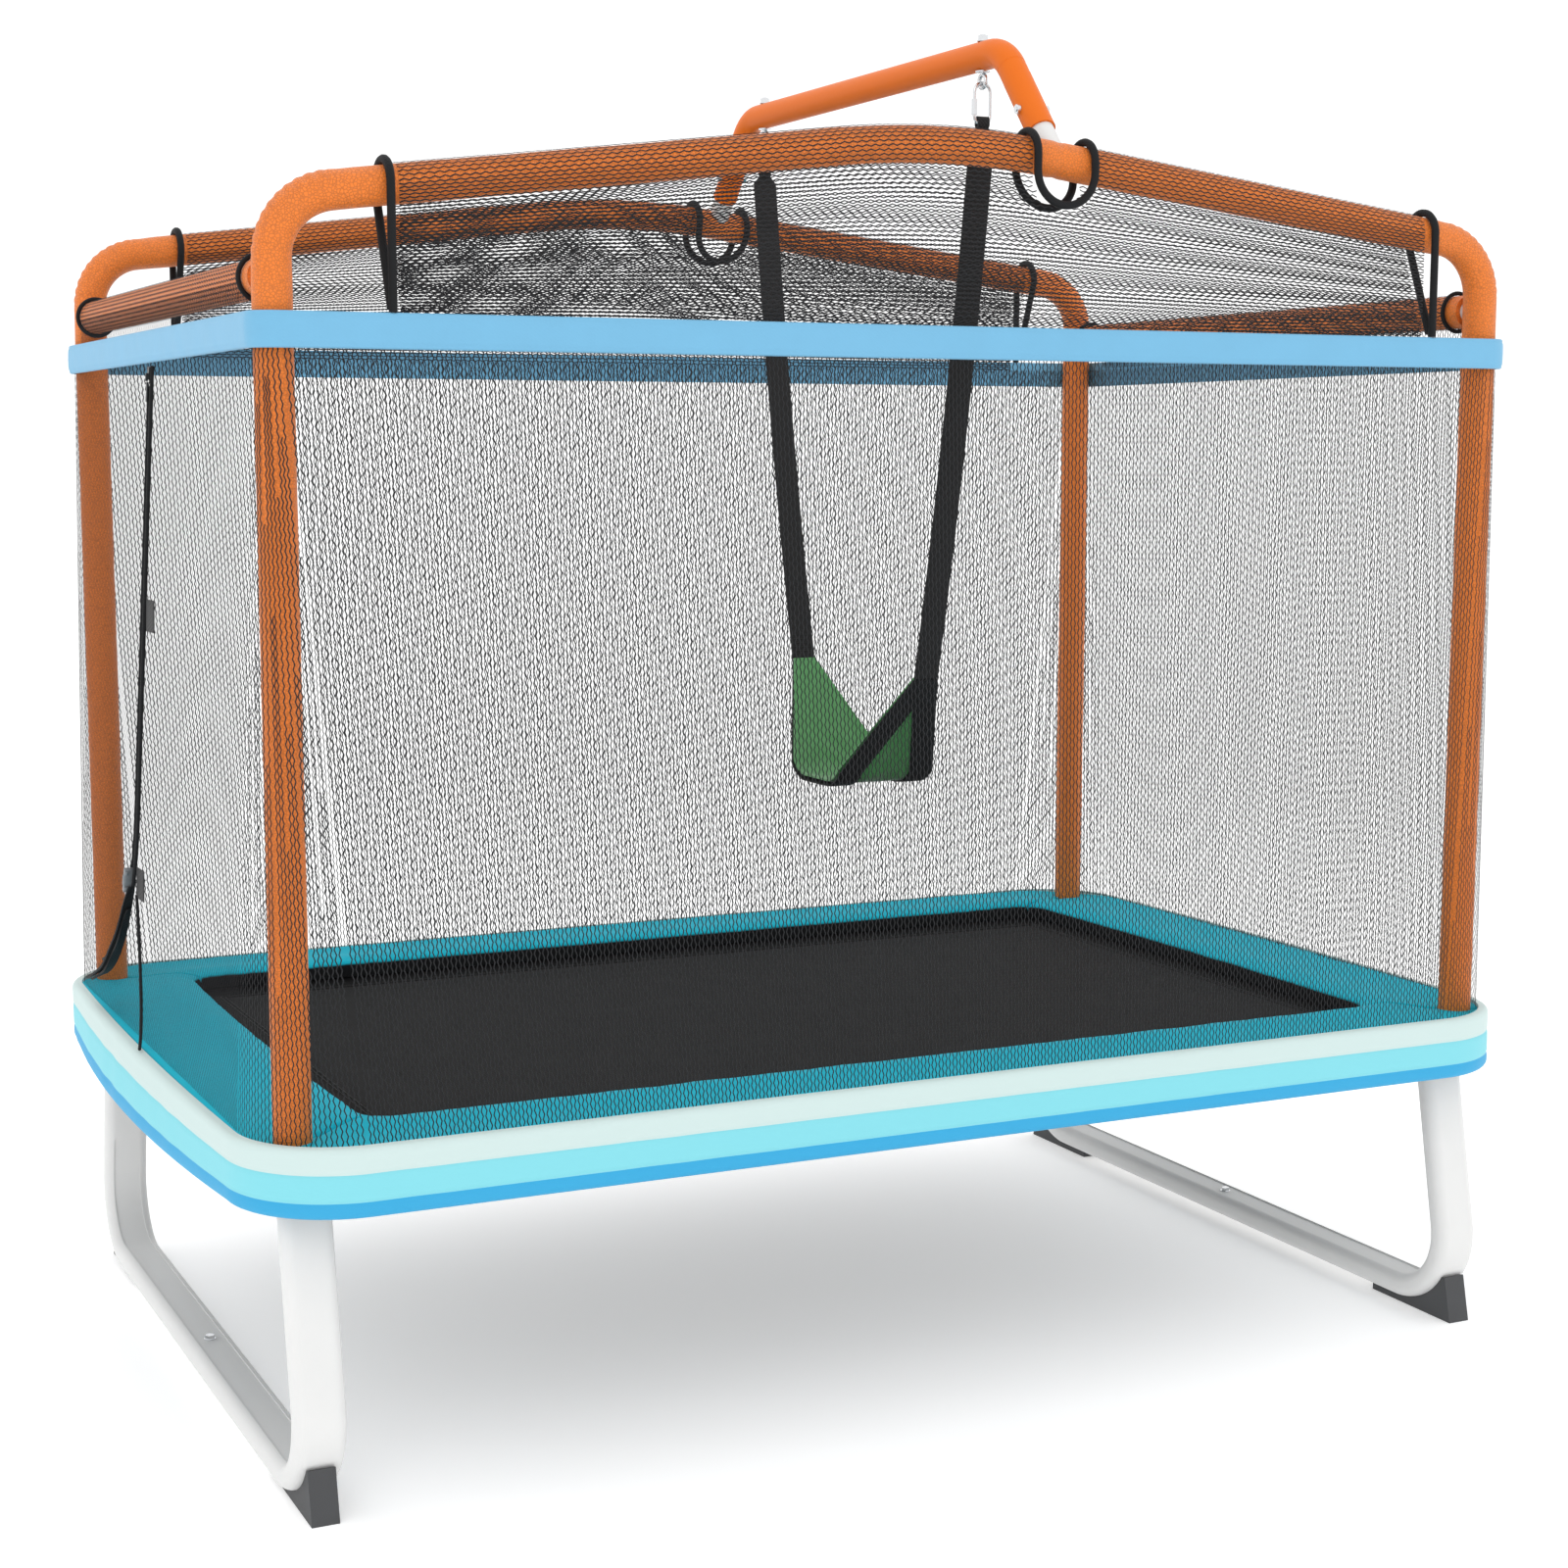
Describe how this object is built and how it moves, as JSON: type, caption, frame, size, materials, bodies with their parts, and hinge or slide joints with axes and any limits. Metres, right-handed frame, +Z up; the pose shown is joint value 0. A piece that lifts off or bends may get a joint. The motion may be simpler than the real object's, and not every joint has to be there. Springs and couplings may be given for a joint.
{
  "type": "trampoline",
  "caption": "Rectangular trampoline on leg loops with a padded rim, a netted enclosure on foam-covered posts, a zip door and a sling swing under an arched bar.",
  "frame": {"origin": "centre of the plan outline at floor level, under the middle of the mat", "axes": "+X along the long sides, away from the zip door; +Y towards the back, across the width; +Z up"},
  "size_m": [1.836, 1.204, 1.786],
  "materials": {
    "frame_steel": "satin",
    "leg_white": "gloss",
    "foot_grey": "matte",
    "hardware_zinc": "satin",
    "spring_steel": "satin",
    "foam_orange": "coated, satin",
    "bar_orange": "powder coat",
    "tee_white": "gloss",
    "mat_black": "woven, matte",
    "pad_teal": "coated, satin",
    "skirt_cyan": "striped, matte",
    "net_black": "knitted mesh",
    "band_blue": "matte",
    "trim_black": "matte",
    "zip_metal": "satin",
    "webbing_black": "woven",
    "seat_green": "woven, matte"
  },
  "bodies": {
    "frame": {"frame_rails": "frame_steel", "frame_corners": "frame_steel", "leg_left_front": "leg_white", "leg_left_back": "leg_white", "leg_right_front": "leg_white", "leg_right_back": "leg_white", "leg_joiners": "frame_steel", "leg_bolts": "hardware_zinc", "feet": "foot_grey", "posts": "frame_steel", "top_rails": "frame_steel", "cross_rails": "frame_steel", "post_foam_left_front": "foam_orange", "post_foam_left_back": "foam_orange", "post_foam_right_front": "foam_orange", "post_foam_right_back": "foam_orange", "rail_foam_left_front": "foam_orange", "rail_foam_left_back": "foam_orange", "rail_foam_right_front": "foam_orange", "rail_foam_right_back": "foam_orange", "cross_foam": "foam_orange", "swing_tee_front": "tee_white", "swing_tee_back": "tee_white", "swing_upright_front": "bar_orange", "swing_upright_back": "bar_orange", "swing_bar": "bar_orange", "swing_bolts": "hardware_zinc", "eye_bolts": "hardware_zinc", "springs": "spring_steel", "pad_front": "pad_teal", "pad_back": "pad_teal", "pad_left": "pad_teal", "pad_right": "pad_teal", "skirt_front": "skirt_cyan", "skirt_back": "skirt_cyan", "skirt_left": "skirt_cyan", "skirt_right": "skirt_cyan", "net_front": "net_black", "net_back": "net_black", "net_right": "net_black", "net_left": "net_black", "net_corners": "net_black", "net_sleeve_front": "net_black", "net_sleeve_back": "net_black", "cross_sleeves": "net_black", "net_band": "band_blue", "sleeve_bindings": "trim_black", "notch_bindings": "trim_black", "cross_bindings": "trim_black", "zip_tape": "trim_black", "door_straps": "trim_black"},
    "mat": {"mat": "mat_black", "mat_rings": "hardware_zinc"},
    "swing": {"quick_links": "hardware_zinc", "seat_straps": "webbing_black", "seat_sling": "seat_green", "seat_webbing": "webbing_black"},
    "door": {"door_panel": "net_black", "door_tape": "trim_black"},
    "zip_slider": {"zip_slider": "zip_metal"}
  },
  "joints": [
    {"name": "mat_bounce", "type": "slide", "parent": "frame", "child": "mat", "axis": [0, 0, 1], "range_m": [-0.09, 0], "stiffness_N_per_m": 5000, "springref_m": 0.012, "deforming": ["springs"]},
    {"name": "swing_hinge", "type": "hinge", "parent": "frame", "child": "swing", "pos_m": [0.16, 0, 1.7175], "axis": [0, 1, 0], "range_deg": [-35, 35]},
    {"name": "door_hinge", "type": "hinge", "parent": "frame", "child": "door", "pos_m": [-0.8745, 0.52, 0.9], "axis": [0, 0, -1], "range_deg": [0, 100]},
    {"name": "zip_slide", "type": "slide", "parent": "frame", "child": "zip_slider", "axis": [-0.0293, 0.1564, -0.9873], "range_m": [0, 0.5]}
  ]
}
